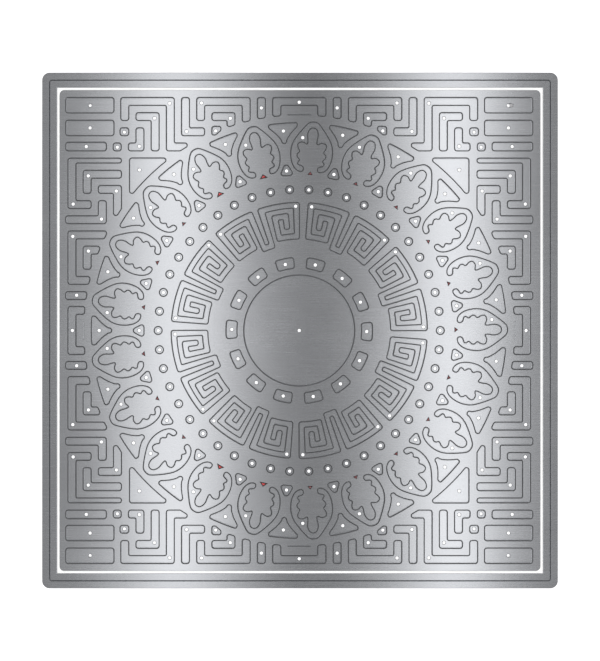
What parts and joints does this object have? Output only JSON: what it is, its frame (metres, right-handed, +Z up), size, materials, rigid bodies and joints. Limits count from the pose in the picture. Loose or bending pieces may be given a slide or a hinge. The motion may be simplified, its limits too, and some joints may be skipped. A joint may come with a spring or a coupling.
{
  "type": "manhole cover",
  "caption": "Square ornamental steel access cover: a pierced fret and rosette plate on a drained, ribbed base plate, lifting out of a square frame with a seat ledge.",
  "frame": {"origin": "centre of the square frame at its underside, where it is bedded", "axes": "+Z up through the tread face, +X to the right and +Y away from a reader who looks down on the cover"},
  "size_m": [0.68, 0.68, 0.065],
  "materials": {
    "surround_steel": "satin brushed stainless",
    "wall_steel": "satin brushed stainless",
    "cover_steel": "satin brushed stainless, eased edges",
    "base_steel": "satin brushed stainless",
    "rib_steel": "mill-finish stainless plate, welded",
    "fixing_steel": "machined stainless",
    "gasket_rubber": "matt black EPDM",
    "seal_rubber": "matt white silicone",
    "dark_enamel": "gloss enamel, dark brown-red",
    "red_enamel": "gloss enamel, red"
  },
  "bodies": {
    "frame": {"surround_front": "surround_steel", "surround_right": "surround_steel", "surround_back": "surround_steel", "surround_left": "surround_steel", "wall_front": "wall_steel", "wall_right": "wall_steel", "wall_back": "wall_steel", "wall_left": "wall_steel", "ledge_front": "rib_steel", "ledge_right": "rib_steel", "ledge_back": "rib_steel", "ledge_left": "rib_steel", "corner_gussets": "rib_steel", "anchor_lugs": "rib_steel", "bearing_gasket": "gasket_rubber", "joint_seal": "seal_rubber"},
    "cover": {"ornament_plate": "cover_steel", "base_plate": "base_steel", "edge_bar_front": "rib_steel", "edge_bar_right": "rib_steel", "edge_bar_back": "rib_steel", "edge_bar_left": "rib_steel", "long_rib_1": "rib_steel", "long_rib_2": "rib_steel", "long_rib_3": "rib_steel", "long_rib_4": "rib_steel", "long_rib_5": "rib_steel", "long_rib_6": "rib_steel", "cross_rib_1": "rib_steel", "cross_rib_2": "rib_steel", "cross_rib_3": "rib_steel", "cross_rib_4": "rib_steel", "lifting_sockets": "fixing_steel", "dark_inlays": "dark_enamel", "red_inlays": "red_enamel", "plate_studs": "fixing_steel", "stud_nuts": "fixing_steel"}
  },
  "joints": [
    {"name": "cover_lift", "type": "slide", "parent": "frame", "child": "cover", "axis": [0, 0, 1], "range_m": [0, 0.12]}
  ]
}
